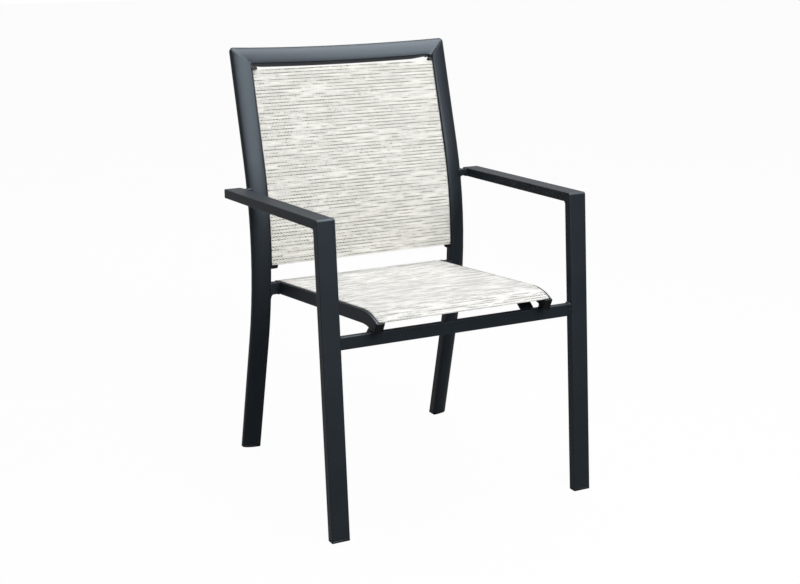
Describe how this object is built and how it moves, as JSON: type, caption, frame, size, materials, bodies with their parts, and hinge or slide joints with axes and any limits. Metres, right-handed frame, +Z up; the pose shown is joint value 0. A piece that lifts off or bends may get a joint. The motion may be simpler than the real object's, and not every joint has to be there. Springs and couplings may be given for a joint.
{
  "type": "sling patio chair",
  "caption": "Stacking patio armchair with a welded tube frame, bowed top rail, flat arms, and woven cloth slung between the back uprights and the seat rails.",
  "frame": {"origin": "centre of the bounding box's base, on the ground", "axes": "+Z up, -Y to the chair's front, X across from arm to arm"},
  "size_m": [0.6154, 0.6132, 0.8905],
  "materials": {
    "frame_coat": "satin graphite powder coat on aluminium tube",
    "black_plastic": "moulded black plastic",
    "rod_plastic": "extruded round rod",
    "back_cloth": "woven coated mesh, off-white with grey-beige flecks",
    "seat_cloth": "woven coated mesh, off-white with grey flecks"
  },
  "bodies": {
    "root": {"back_upright_left": "frame_coat", "back_upright_right": "frame_coat", "top_rail": "frame_coat", "arm_left": "frame_coat", "arm_right": "frame_coat", "front_leg_left": "frame_coat", "front_leg_right": "frame_coat", "front_rail": "frame_coat", "seat_rail_left": "frame_coat", "seat_rail_right": "frame_coat", "seat_stub_left": "frame_coat", "seat_stub_right": "frame_coat", "rear_cross_tube": "frame_coat", "rail_block_left": "frame_coat", "rail_block_right": "frame_coat", "seat_spreader": "frame_coat", "spreader_bracket_left": "frame_coat", "spreader_bracket_right": "frame_coat", "arm_stub_left": "frame_coat", "arm_stub_right": "frame_coat", "front_glide_left": "black_plastic", "front_glide_right": "black_plastic", "rear_glide_left": "black_plastic", "rear_glide_right": "black_plastic", "arm_cap_left": "black_plastic", "arm_cap_right": "black_plastic", "seat_rail_cap_left": "black_plastic", "seat_rail_cap_right": "black_plastic", "seat_rail_plug_left": "black_plastic", "seat_rail_plug_right": "black_plastic", "groove_plug_top_left": "black_plastic", "groove_plug_top_right": "black_plastic", "groove_plug_bottom_left": "black_plastic", "groove_plug_bottom_right": "black_plastic", "back_rod_left": "rod_plastic", "back_rod_right": "rod_plastic", "seat_rod_left": "rod_plastic", "seat_rod_right": "rod_plastic", "back_sling": "back_cloth", "seat_sling": "seat_cloth"}
  },
  "joints": []
}
